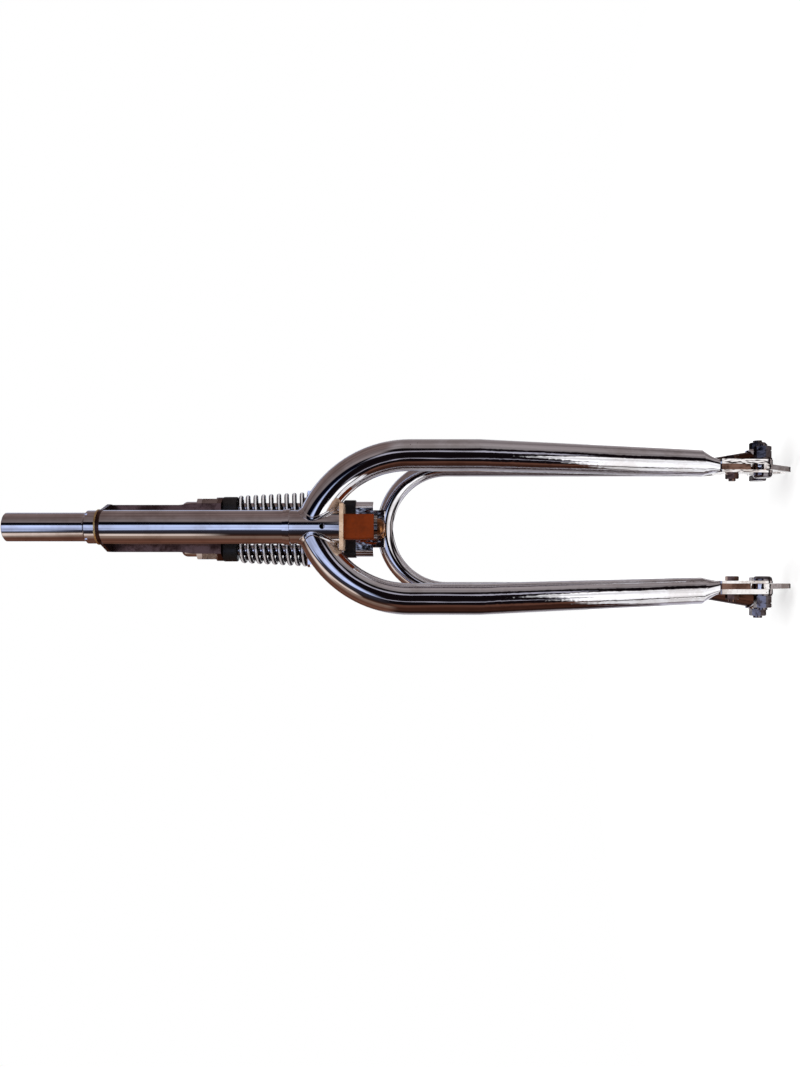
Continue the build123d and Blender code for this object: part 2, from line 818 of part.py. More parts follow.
left_pieces = {
    "fork_leg": fork_leg(),
    "dropout_plate_inner": dropout_plate(inner_plate_y, inner_plate_thick),
    "dropout_plate_outer": dropout_plate(outer_plate_y, outer_plate_thick),
    "dropout_spacer": dropout_spacer(),
    "pivot_boss": pivot_boss(),
    "rocker": rocker(),
    "rocker_bush": rocker_bush(),
}
for name, piece in left_pieces.items():
    save(f"{name}_left", piece)
    save(f"{name}_right", other_side(piece))

rod_pieces = {
    "guide_bush": guide_bush,
    "rubber_bush": rubber_bush,
    "spring_rod": spring_rod,
    "spring_seat": spring_seat,
    "coil_spring": coil_spring,
}
for name, make in rod_pieces.items():
    save(f"{name}_left", make(1))
    save(f"{name}_right", make(-1))

print("front pivot arm", round(arm_length, 3), "hole", round(front_hole_x, 3), front_pivot_z)
print("front hole radius", round(front_hole_r, 3))
print("rocker swing", round(math.degrees(2 * half_swing), 3), "degrees")
print("rocker ratio", round(2 * half_swing / (travel / 1000), 4), "rad per metre")
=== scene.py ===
# %% [markdown]
# # Springer fork: finishes, springs and brazing
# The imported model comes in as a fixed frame, in metres. It already has every plate, tube and
# nut at its place, so this lesson only adds what a solid model can't say: how the chrome,
# rubber and brass look, how the springs are wound, and where the joints are brazed. Nothing
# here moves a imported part: each new piece takes its place from the boxes of those parts, and
# from the few sizes that no box can tell, such as the middle of a bend.

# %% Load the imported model
import json
import math

import bmesh
import bpy
import numpy as np
from mathutils import Matrix, Vector


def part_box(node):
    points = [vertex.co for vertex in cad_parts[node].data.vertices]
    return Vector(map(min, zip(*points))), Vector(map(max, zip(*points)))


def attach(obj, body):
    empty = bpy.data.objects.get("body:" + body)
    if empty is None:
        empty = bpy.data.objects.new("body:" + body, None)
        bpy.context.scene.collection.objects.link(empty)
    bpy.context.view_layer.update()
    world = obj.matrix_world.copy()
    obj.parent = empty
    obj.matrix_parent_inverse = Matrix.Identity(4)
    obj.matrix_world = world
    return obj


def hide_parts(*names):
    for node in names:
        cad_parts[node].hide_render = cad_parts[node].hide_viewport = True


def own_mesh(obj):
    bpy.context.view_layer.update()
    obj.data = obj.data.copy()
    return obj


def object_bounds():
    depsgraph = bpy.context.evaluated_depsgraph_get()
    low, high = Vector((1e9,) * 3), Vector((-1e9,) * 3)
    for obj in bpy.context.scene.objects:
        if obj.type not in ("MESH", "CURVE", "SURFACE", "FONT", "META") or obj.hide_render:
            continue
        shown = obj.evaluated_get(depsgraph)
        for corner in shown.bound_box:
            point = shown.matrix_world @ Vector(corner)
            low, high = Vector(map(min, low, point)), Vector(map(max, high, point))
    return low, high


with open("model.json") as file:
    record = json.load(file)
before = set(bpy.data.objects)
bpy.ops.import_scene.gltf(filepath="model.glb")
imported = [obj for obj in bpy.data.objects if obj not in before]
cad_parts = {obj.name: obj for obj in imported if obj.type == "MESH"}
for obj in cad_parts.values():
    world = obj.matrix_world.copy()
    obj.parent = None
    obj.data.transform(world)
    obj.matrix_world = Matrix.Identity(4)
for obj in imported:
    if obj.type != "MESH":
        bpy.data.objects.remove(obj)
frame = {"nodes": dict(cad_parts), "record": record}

bpy.context.scene.view_settings.view_transform = "Standard"

cad_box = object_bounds()
nodes = frame["nodes"]
for plain in list(bpy.data.materials):
    bpy.data.materials.remove(plain)

# %% [markdown]
# ## Sizes to work from
# Blender knows no drawing, so the few sizes that several pieces need are read from boxes: the
# stem's radius is half its box, and a spring fills the box of the coil it stands for. Reading
# them, rather than typing them again, keeps the pieces together when the model changes.

# %% Sizes read from the frame
stem_low, stem_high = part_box("stem_tube")
leg_low, leg_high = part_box("fork_leg_left")
whole_low = np.array(cad_box[0])
whole_high = np.array(cad_box[1])
middle = (whole_low + whole_high) / 2
stem_radius = (stem_high.y - stem_low.y) / 2
leg_radius = (leg_high.x - leg_low.x) / 2
print("stem radius", round(stem_radius, 5), "leg radius", round(leg_radius, 5))
print("whole box", whole_low.round(4), whole_high.round(4))

# %% [markdown]
# ## Camera
# The fork is seen from behind, with the steerer pointing left, as if it lay on a table with
# its springs underneath. The camera stands on the -X side, looks along +X and is rolled so
# that +Z points left. A camera matrix holds three columns: where right, up and back point.

# %% Place the camera
view_distance = 0.790
view_length = 0.943
camera_y = 0.0394
camera_lift = 0.0018
picture_middle_y = 0.0057
sensor_width = 36.0

camera_data = bpy.data.cameras.new("product_camera")
camera_data.sensor_width = sensor_width
camera_data.lens = sensor_width * view_distance / view_length
camera_data.shift_y = (camera_y - picture_middle_y) / view_length
camera = bpy.data.objects.new("product_camera", camera_data)
right, up, back = (0, 0, -1), (0, -1, 0), (-1, 0, 0)
turn = Matrix((right, up, back)).transposed().to_4x4()
camera_place = (-view_distance, camera_y, middle[2] + camera_lift)
camera.matrix_world = Matrix.Translation(camera_place) @ turn
bpy.context.scene.collection.objects.link(camera)
bpy.context.scene.camera = camera
print("lens", round(camera_data.lens, 2), "shift", round(camera_data.shift_y, 4))

# %% [markdown]
# ## Node helpers
# Materials are graphs of nodes. A tiny helper that adds a node, sets its inputs and returns it
# keeps each graph readable as a list of steps. Colours are easier to judge on the scale of a
# screen, so they are written from 0 to 255 and turned into the linear values that light uses.

# %% Colour and node helpers
def screen_colour(red, green, blue):
    """Screen colour from 0 to 255 as a linear colour: each part undoes the screen's curve,
    a straight line near black and a power of 2.4 above it."""
    parts = np.array((red, green, blue)) / 255
    linear = np.where(parts <= 0.04045, parts / 12.92, ((parts + 0.055) / 1.055) ** 2.4)
    return (*linear.tolist(), 1.0)


def add_node(tree, kind, values=None, **settings):
    """New node with its settings and its inputs' values, by name or number."""
    node = tree.nodes.new(kind)
    for name, value in settings.items():
        setattr(node, name, value)
    for name, value in (values or {}).items():
        if isinstance(value, bpy.types.NodeSocket):
            tree.links.new(value, node.inputs[name])
        else:
            node.inputs[name].default_value = value
    return node


print("mid grey", screen_colour(118, 118, 118)[0])

# %% [markdown]
# The same few steps come again in every graph: a sum, a noise, a pattern pulled out one way, a
# change of scale, a mix of two colours and a ramp. Naming each of them once keeps the graphs
# short, and a mistake has to be mended in one place only.

# %% Steps that come again
def sums(tree, operation, first, second=0.0):
    """One Math node; returns its result."""
    return add_node(tree, "ShaderNodeMath", {0: first, 1: second},
                    operation=operation).outputs[0]


def noise(tree, place, scale, detail=2.0, roughness=0.5):
    """Soft random value between 0 and 1; more detail adds finer layers to it."""
    return add_node(tree, "ShaderNodeTexNoise", {
        "Vector": place, "Scale": scale, "Detail": detail, "Roughness": roughness}).outputs["Fac"]


def pull_out(tree, place, stretch):
    """Place times a stretch: a pattern grows long in the direction whose number is small."""
    return add_node(tree, "ShaderNodeVectorMath", {0: place, 1: stretch},
                    operation="MULTIPLY").outputs[0]


def rescale(tree, value, low, high, to_low=0.0, to_high=1.0, smooth=False):
    """Value from low to high as a value from to_low to to_high, level outside, with soft ends
    where it is smooth."""
    return add_node(tree, "ShaderNodeMapRange", {
        "Value": value, "From Min": low, "From Max": high, "To Min": to_low,
        "To Max": to_high}, interpolation_type="SMOOTHSTEP" if smooth else "LINEAR"
    ).outputs["Result"]


def colour_mix(tree, share, first, second):
    """Colour that goes from the first to the second as the share goes from 0 to 1."""
    return add_node(tree, "ShaderNodeMix", {0: share, 6: first, 7: second},
                    data_type="RGBA").outputs[2]


def ramp(tree, factor, stops, mode="LINEAR"):
    """Colour ramp over a factor, given by (place, colour) stops; returns its colour."""
    node = add_node(tree, "ShaderNodeValToRGB", {"Fac": factor})
    node.color_ramp.interpolation = mode
    elements = node.color_ramp.elements
    while len(elements) < len(stops):
        elements.new(0.5)
    for element, (place, colour) in zip(elements, stops):
        element.position = place
        element.color = colour
    return node.outputs["Color"]


def empty_material(name):
    """New material with no nodes yet; returns it and its tree of nodes."""
    material = bpy.data.materials.new(name)
    material.use_nodes = True
    material.node_tree.nodes.clear()
    return material, material.node_tree


print("helpers", sums.__name__, noise.__name__, rescale.__name__, ramp.__name__)

# %% [markdown]
# ## Floor and white background
# The background is white because its colour is white, not because more light is thrown at it.
# The Light Path node tells which kind of ray asks: camera, mirror and glass rays see plain
# white, and every other ray sees a softer white that lights the fork evenly.

# %% World
soft_light = 0.75
world = bpy.data.worlds.new("white_room")
world.use_nodes = True
bpy.context.scene.world = world
tree = world.node_tree
tree.nodes.clear()
path = add_node(tree, "ShaderNodeLightPath").outputs
seen = sums(tree, "MAXIMUM", path["Is Camera Ray"], path["Is Glossy Ray"])
seen = sums(tree, "MAXIMUM", seen, path["Is Transmission Ray"])
white = add_node(tree, "ShaderNodeBackground", {
    "Color": (1, 1, 1, 1), "Strength": rescale(tree, seen, 0.0, 1.0, soft_light, 1.0)})
add_node(tree, "ShaderNodeOutputWorld", {"Surface": white.outputs[0]})
print("world nodes", len(tree.nodes))

# %% [markdown]
# A surface on a grid is the tool for almost every new piece here: two numbers run over the
# grid, a formula turns them into points, and the mesh gets all the points and faces at once.

# %% Surface from a grid of points
def grid_mesh(name, points, close_rows=False, close_columns=False):
    """Mesh from an array of points (rows, columns, 3). Each face joins a point to its
    neighbours in the next column and row, and a closed way round joins the last to the first."""
    rows, columns = points.shape[:2]
    row = np.arange(rows if close_rows else rows - 1)[:, None]
    column = np.arange(columns if close_columns else columns - 1)[None, :]
    next_row = (row + 1) % rows
    next_column = (column + 1) % columns
    corners = (row * columns + column, row * columns + next_column,
               next_row * columns + next_column, next_row * columns + column)
    faces = np.stack(corners, axis=-1).reshape(-1, 4)
    mesh = bpy.data.meshes.new(name)
    mesh.from_pydata(points.reshape(-1, 3), [], faces.tolist())
    mesh.polygons.foreach_set("use_smooth", np.ones(len(faces), bool))
    mesh.update()
    return mesh


def add_piece(name, mesh, material=None):
    """Object at the origin that holds the mesh, with its material."""
    piece = bpy.data.objects.new(name, mesh)
    bpy.context.scene.collection.objects.link(piece)
    if material:
        mesh.materials.append(material)
    return piece


print("grid helper ready")

# %% [markdown]
# The floor is a disc just under the fork. It catches the soft shadow, and it glows a little for
# the camera, so that it is as white as the background. Its faces point up and its back is
# see-through, because the fork is also looked at from below.

# %% Floor
floor_drop = 0.003
floor_radius = 0.9
floor_colour = screen_colour(240, 240, 240)
floor_roughness = 0.9
floor_lift = 0.35

around = np.linspace(0, 2 * math.pi, 96, endpoint=False)
rings = np.array([1.0, 0.5, 0.0]) * floor_radius
disc = np.zeros((len(rings), len(around), 3))
disc[..., 0] = rings[:, None] * np.cos(around)
disc[..., 1] = rings[:, None] * np.sin(around)
disc[..., 2] = whole_low[2] - floor_drop

floor_material, tree = empty_material("pale_floor")
path = add_node(tree, "ShaderNodeLightPath").outputs
paint = add_node(tree, "ShaderNodeBsdfPrincipled", {
    "Base Color": floor_colour, "Roughness": floor_roughness, "Specular IOR Level": 0.0,
    "Emission Color": (1, 1, 1, 1),
    "Emission Strength": sums(tree, "MULTIPLY", path["Is Camera Ray"], floor_lift)})
back = add_node(tree, "ShaderNodeNewGeometry").outputs["Backfacing"]
clear = add_node(tree, "ShaderNodeBsdfTransparent").outputs[0]
top_only = add_node(tree, "ShaderNodeMixShader", {0: back, 1: paint.outputs[0], 2: clear})
add_node(tree, "ShaderNodeOutputMaterial", {"Surface": top_only.outputs[0]})
floor = add_piece("floor", grid_mesh("floor", disc, close_columns=True), floor_material)
floor.visible_glossy = False
print("floor at", round(whole_low[2] - floor_drop, 4))

# %% [markdown]
# ## A tent of cards for the chrome
# Chrome has hardly any colour of its own: it shows the room. In a studio, cards hang round
# it, grey on one side, brown on the other and a pale window between, and each tube draws them
# as long bands. The tent here is an egg-shaped shell that only mirror rays can see, so it
# neither lights nor shades the fork, and the camera looks straight through it.

# %% Tent surface
tent_radius = 0.65
tent_height = 0.90

turn_angle = np.linspace(0, 2 * math.pi, 72, endpoint=False)
tilt_angle = np.linspace(-0.499 * math.pi, 0.499 * math.pi, 48)
shell = np.zeros((len(tilt_angle), len(turn_angle), 3))
shell[..., 0] = tent_radius * np.cos(tilt_angle)[:, None] * np.cos(turn_angle)
shell[..., 1] = tent_radius * np.cos(tilt_angle)[:, None] * np.sin(turn_angle)
shell[..., 2] = middle[2] + tent_height * np.sin(tilt_angle)[:, None]
print("tent", shell.shape)

# %% [markdown]
# ## Bands on the tent
# The bands run up the tent, so what they need is a compass angle: 0 behind the fork where the
# viewer stands, positive towards the right leg. The arc tangent of the two flat coordinates
# gives that angle all the way round, which a plain left-to-right share could not. Five sets of
# bands follow each other down the tent, each a list of angles in degrees and cards.

# %% Cards and their places
grey_card = screen_colour(124, 115, 116)
dim_grey_card = screen_colour(105, 90, 88)
light_grey_card = screen_colour(148, 141, 142)
night_blue = screen_colour(4, 4, 16)
slate_card = screen_colour(42, 43, 54)
window_blue = screen_colour(188, 202, 240)
dim_window = screen_colour(158, 173, 206)
dark_card = screen_colour(40, 32, 32)
tan_card = screen_colour(126, 106, 94)
cream_card = screen_colour(214, 198, 188)
brown_card = screen_colour(94, 62, 50)
deep_brown_card = screen_colour(58, 34, 26)
black_card = screen_colour(14, 9, 12)
pale_line = screen_colour(176, 174, 188)
white_window = screen_colour(252, 252, 254)

column_start = [(-180, window_blue), (-174, window_blue), (-171, dark_card), (-166, tan_card),
                (-158, brown_card)]
column_end = [(8, window_blue), (10, dim_window), (13, night_blue), (30, night_blue),
              (34, grey_card), (75, dim_grey_card), (110, dim_grey_card), (144, grey_card),
              (149, window_blue), (158, pale_line), (161, night_blue), (170, night_blue),
              (173, window_blue), (180, window_blue)]
band_sets = {
    "steerer": column_start + [
        (-98, brown_card), (-88, tan_card), (-66, cream_card), (-52, cream_card),
        (-47, slate_card), (-39, slate_card), (-34, window_blue)] + column_end,
    "stem": column_start + [
        (-94, brown_card), (-74, tan_card), (-64, tan_card), (-61, cream_card),
        (-51, cream_card), (-47, dark_card), (-26, slate_card), (-21, window_blue)] + column_end,
    "stem_foot": column_start + [
        (-94, brown_card), (-72, tan_card), (-62, deep_brown_card), (-50, dark_card),
        (-26, slate_card), (-21, window_blue)] + column_end,
    "crown": [
        (-180, white_window), (-173, white_window), (-169, black_card), (-160, black_card),
        (-156, pale_line), (-128, light_grey_card), (-116, black_card),
        (-92, deep_brown_card), (-70, deep_brown_card), (-52, brown_card), (-46, black_card),
        (-27, black_card), (-25, pale_line), (-22, black_card), (19, black_card),
        (22, pale_line), (28, pale_line), (31, black_card), (46, black_card),
        (52, light_grey_card), (100, grey_card), (144, light_grey_card), (150, pale_line),
        (159, pale_line), (162, black_card), (170, black_card), (174, white_window),
        (180, white_window)],
    "axle": [
        (-180, white_window), (-174, white_window), (-171, black_card), (-166, black_card),
        (-162, white_window), (-120, pale_line), (-96, grey_card),
        (-90, white_window), (-62, white_window), (-59, dark_card), (-53, dark_card),
        (-50, white_window), (13, white_window), (16, light_grey_card), (19, black_card),
        (42, black_card), (47, light_grey_card), (100, grey_card), (144, light_grey_card),
        (150, white_window), (160, white_window), (163, black_card), (170, black_card),
        (174, white_window), (180, white_window)],
}
print("cards per set", {name: len(stops) for name, stops in band_sets.items()})

# %% [markdown]
# Straight bands with level ends would look printed. In bent and tapered tubes the cards run
# out in long points and their edges wander, so below the crown one slow noise pushes the
# compass angle a little to and fro before the ramps read it.

# %% Compass angle that wanders
wander = 0.30
wander_scale = 1.6
wander_round = 2.4
wander_down = 5.0
wander_start, wander_full = 0.02, -0.12

tent_material, tree = empty_material("tent_cards")
tent_place = add_node(tree, "ShaderNodeTexCoord").outputs["Object"]
spot = add_node(tree, "ShaderNodeSeparateXYZ", {0: tent_place}).outputs
tent_z = spot["Z"]
compass = sums(tree, "ARCTAN2", sums(tree, "MULTIPLY", spot["Y"], -1.0),
               sums(tree, "MULTIPLY", spot["X"], -1.0))
stretched = add_node(tree, "ShaderNodeCombineXYZ", {
    "X": sums(tree, "MULTIPLY", compass, wander_round),
    "Z": sums(tree, "MULTIPLY", tent_z, wander_down)}).outputs[0]
push = sums(tree, "SUBTRACT", noise(tree, stretched, wander_scale, detail=3.0), 0.5)
below_crown = rescale(tree, tent_z, wander_start, wander_full, smooth=True)
shift = sums(tree, "MULTIPLY", sums(tree, "MULTIPLY", push, below_crown), wander)
bent_compass = sums(tree, "ADD", compass, shift)
card_place = rescale(tree, bent_compass, -math.pi, math.pi)
bands = {name: ramp(tree, card_place, [((angle + 180) / 360, colour) for angle, colour in stops])
         for name, stops in band_sets.items()}
print("ramps", sorted(bands))

# %% [markdown]
# Down the tent each set of bands melts into the next. The white window at the foot opens as a
# wedge: it starts at one angle and widens as it goes down, because the height that rules it
# grows with the distance from that angle. The roof and the skirt of the tent are black, which
# gives every spring wire its dark edges, and the open ground in the middle is pale.

# %% Melt the bands together
band_change = {"stem": (0.48, 0.36), "stem_foot": (0.22, 0.16), "crown": (0.03, -0.05)}
axle_change = (-0.32, -0.36)
wedge_angle = math.radians(-6)
wedge_slope = 0.08
wedge_wander = 0.25
roof_edge = (0.76, 0.62)
skirt_edge = (-0.80, -0.88)
ground_edge = (-0.94, -0.97)

cards = bands["steerer"]
for name, change in band_change.items():
    cards = colour_mix(tree, rescale(tree, tent_z, *change, smooth=True), cards, bands[name])
away = sums(tree, "ABSOLUTE", sums(tree, "SUBTRACT", bent_compass, wedge_angle))
wedge_z = sums(tree, "ADD", tent_z, sums(tree, "MULTIPLY", away, wedge_slope))
wedge_z = sums(tree, "ADD", wedge_z, sums(tree, "MULTIPLY", push, wedge_wander))
cards = colour_mix(tree, rescale(tree, wedge_z, *axle_change, smooth=True), cards, bands["axle"])
below_roof = rescale(tree, tent_z, *roof_edge, smooth=True)
skirt = rescale(tree, tent_z, *skirt_edge, smooth=True)
dark_ends = sums(tree, "MAXIMUM", sums(tree, "SUBTRACT", 1.0, below_roof), skirt)
cards = colour_mix(tree, dark_ends, cards, black_card)
ground = rescale(tree, tent_z, *ground_edge, smooth=True)
cards = colour_mix(tree, ground, cards, light_grey_card)
print("tent nodes", len(tree.nodes))

# %% [markdown]
# No card is perfectly even: a noise pulled out along the height lays long soft streaks over
# all of them. The tent itself is stage, and only mirror rays may see it.

# %% Streaks and the tent itself
tent_glow = 1.28
streak_pull = (1.0, 1.0, 0.12)
streak_scale = 5.5
streak_edge = (0.40, 0.60)
streak_low, streak_high = 0.68, 1.12

streak_noise = noise(tree, pull_out(tree, tent_place, streak_pull), streak_scale, detail=4.0)
streaks = rescale(tree, streak_noise, *streak_edge, streak_low, streak_high)
glow = add_node(tree, "ShaderNodeEmission", {
    "Color": cards, "Strength": sums(tree, "MULTIPLY", streaks, tent_glow)})
add_node(tree, "ShaderNodeOutputMaterial", {"Surface": glow.outputs[0]})

tent = add_piece("tent", grid_mesh("tent", shell, close_columns=True), tent_material)
tent.visible_camera = False
tent.visible_diffuse = False
tent.visible_shadow = False
tent.visible_transmission = False
print("tent nodes", len(tree.nodes))

# %% [markdown]
# ## Lamps
# Two wide, soft lamps model the dull parts: rubber, block and brass. They are hidden from
# mirror rays, so no lamp shows as a square in the chrome. Their power is plain, so a colour
# comes out about as it is written.

# %% Key and fill
def soft_lamp(name, place, target, size, watts):
    """Square area lamp whose face looks along the line from its place to the target."""
    data = bpy.data.lights.new(name, "AREA")
    data.size = size
    data.energy = watts
    lamp = bpy.data.objects.new(name, data)
    lamp.location = place
    lamp.rotation_euler = (target - place).to_track_quat("-Z", "Y").to_euler()
    lamp.visible_glossy = False
    bpy.context.scene.collection.objects.link(lamp)
    return lamp


fork_middle = Vector(middle)
key_lamp = soft_lamp("key", Vector((-1.1, -0.9, 0.9)), fork_middle, size=1.2, watts=11.0)
fill_lamp = soft_lamp("fill", Vector((0.9, 1.1, 0.7)), fork_middle, size=1.4, watts=6.0)
print("lamps", key_lamp.data.energy, fill_lamp.data.energy)

# %% [markdown]
# ## Effects that the finishes share
# Real plating isn't perfect: hands leave dull patches, cloths leave hairlines, tubes keep a
# faint ripple from drawing, lathe tools leave rings and pits show as freckles. One more mask
# marks the fork's feet, where a brown reflection is painted into the colour. Each effect is a
# node group, made once with named inputs, so every finish can use it with its own sizes. A
# group gives out only masks, heights and roughness. The shader itself stays in the material.

# %% Start a node group
def new_group(name, inputs, outputs):
    """Empty shader node group with number sockets; inputs give each socket's first value."""
    group = bpy.data.node_groups.new(name, "ShaderNodeTree")
    for socket, value in inputs.items():
        made = group.interface.new_socket(socket, in_out="INPUT", socket_type="NodeSocketFloat")
        made.default_value = value
    for socket in outputs:
        group.interface.new_socket(socket, in_out="OUTPUT", socket_type="NodeSocketFloat")
    enter = group.nodes.new("NodeGroupInput")
    leave = group.nodes.new("NodeGroupOutput")
    place = group.nodes.new("ShaderNodeTexCoord")
    return group, enter.outputs, leave.inputs, place.outputs["Object"]

# %% Handling marks
def handling_marks():
    """Roughness between Clean and Dull: coarse noise says where hands have been, and a
    quarter of a noise nine times finer breaks its edge. Mask is 1 in the dull patches."""
    group, given, result, place = new_group(
        "handling_marks", {"Scale": 30.0, "Clean": 0.04, "Dull": 0.12}, ("Roughness", "Mask"))
    coarse = noise(group, place, given["Scale"], detail=3.0, roughness=0.55)
    fine = noise(group, place, sums(group, "MULTIPLY", given["Scale"], 9.0))
    blend = sums(group, "ADD", coarse, sums(group, "MULTIPLY", fine, 0.25))
    mask = rescale(group, blend, 0.55, 0.78, smooth=True)
    rough = rescale(group, mask, 0.0, 1.0, given["Clean"], given["Dull"])
    group.links.new(rough, result["Roughness"])
    group.links.new(mask, result["Mask"])
    return group


marks_group = handling_marks()
print("handling marks", len(marks_group.nodes))

# %% Hairlines
def hairlines():
    """Height of polishing hairlines: noise pulled out tall in Z one way and along Y the
    other way, each cut to thin dark lines, then added."""
    group, given, result, place = new_group(
        "hairlines", {"Scale": 900.0, "Depth": 1.0}, ("Height",))
    lines = []
    for stretch in ((1.0, 1.0, 0.03), (1.0, 0.04, 1.0)):
        grain = noise(group, pull_out(group, place, stretch), given["Scale"], detail=1.0)
        lines.append(rescale(group, grain, 0.30, 0.42))
    both = sums(group, "ADD", *lines)
    group.links.new(sums(group, "MULTIPLY", both, given["Depth"]), result["Height"])
    return group


hairline_group = hairlines()
print("hairlines", len(hairline_group.nodes))

# %% Drawn ripple
def drawn_ripple():
    """Height of the soft ripple that drawing and bending leave in a tube wall: one slow noise,
    pulled out along the tube, and a fifth of one that is a third as long."""
    group, given, result, place = new_group(
        "drawn_ripple", {"Scale": 40.0, "Depth": 1.0}, ("Height",))
    pulled = pull_out(group, place, (1.0, 1.0, 0.35))
    slow = noise(group, pulled, given["Scale"], detail=1.0)
    quick = noise(group, pulled, sums(group, "MULTIPLY", given["Scale"], 3.0), detail=0.0)
    both = sums(group, "ADD", slow, sums(group, "MULTIPLY", quick, 0.2))
    group.links.new(sums(group, "MULTIPLY", both, given["Depth"]), result["Height"])
    return group


ripple_group = drawn_ripple()
print("drawn ripple", len(ripple_group.nodes))

# %% Turned lines
def turned_lines():
    """Height of lathe lines: the sine of the place along the pin over the line spacing, made
    uneven by noise. Upright 0 takes the place along Y, for the pivots, and 1 takes it along Z,
    for the rods."""
    group, given, result, place = new_group(
        "turned_lines", {"Spacing": 0.0007, "Depth": 1.0, "Upright": 0.0}, ("Height",))
    spot = add_node(group, "ShaderNodeSeparateXYZ", {0: place}).outputs
    lying = sums(group, "MULTIPLY", spot["Y"], sums(group, "SUBTRACT", 1.0, given["Upright"]))
    standing = sums(group, "MULTIPLY", spot["Z"], given["Upright"])
    turns = sums(group, "DIVIDE", sums(group, "ADD", lying, standing), given["Spacing"])
    wave = sums(group, "SINE", sums(group, "MULTIPLY", turns, 2 * math.pi))
    uneven = sums(group, "MULTIPLY", wave, noise(group, place, 300.0))
    group.links.new(sums(group, "MULTIPLY", uneven, given["Depth"]), result["Height"])
    return group


turned_group = turned_lines()
print("turned lines", len(turned_group.nodes))

# %% Freckles
def freckles():
    """Mask of small dark spots where plating has pitted: the distance to scattered points
    under a small radius, kept only where a coarse noise is high."""
    group, given, result, place = new_group(
        "freckles", {"Scale": 420.0, "Size": 0.16, "Amount": 0.5}, ("Mask",))
    points = add_node(group, "ShaderNodeTexVoronoi", {"Vector": place, "Scale": given["Scale"]})
    near = sums(group, "LESS_THAN", points.outputs["Distance"], given["Size"])
    limit = sums(group, "SUBTRACT", 1.0, given["Amount"])
    kept = sums(group, "GREATER_THAN", noise(group, place, 45.0), limit)
    group.links.new(sums(group, "MULTIPLY", near, kept), result["Mask"])
    return group


freckle_group = freckles()
print("freckles", len(freckle_group.nodes))

# %% Painted brown reflection at the feet
def painted_foot_reflection():
    """Mask of the fork's feet where a brown reflection is painted in: 0 above High, 1 below
    Low, both heights in metres, with an edge that a noise moves up and down by Uneven."""
    group, given, result, place = new_group(
        "painted_foot_reflection", {"High": -0.330, "Low": -0.384, "Uneven": 0.06}, ("Mask",))
    spot = add_node(group, "ShaderNodeSeparateXYZ", {0: place}).outputs
    push = sums(group, "SUBTRACT", noise(group, place, 70.0), 0.5)
    height = sums(group, "ADD", spot["Z"], sums(group, "MULTIPLY", push, given["Uneven"]))
    mask = rescale(group, height, given["High"], given["Low"], smooth=True)
    group.links.new(mask, result["Mask"])
    return group


foot_reflection_group = painted_foot_reflection()
print("painted foot reflection", len(foot_reflection_group.nodes))

# %% [markdown]
# ## Metal finishes
# All the metals differ in a few numbers only: colour, how clean, how scratched and how they
# were shaped. One builder takes those numbers and wires the shared effects to the Principled
# shader, so a change to an effect shows on every finish at once.

# %% Build a metal
freckle_colour = screen_colour(70, 52, 44)
freckle_roughness = 0.35
foot_roughness = 0.2
# Edge and metallic cut of the painted highlight line on the spring wire.
glint_edge = (0.86, 0.97)
glint_nonmetal_share = 0.65


def place_group(tree, group, **values):
    """One use of a shared effect, with its own values; returns its outputs."""
    node = tree.nodes.new("ShaderNodeGroup")
    node.node_tree = group
    for name, value in values.items():
        node.inputs[name].default_value = value
    return node.outputs


def finish_with_bump(tree, shader, height, distance, strength):
    """Bump on the shader; a height of 1 stands for the distance, in metres."""
    bump = add_node(tree, "ShaderNodeBump", {"Height": height, "Distance": distance,
                                             "Strength": strength})
    tree.links.new(bump.outputs["Normal"], shader["Normal"])


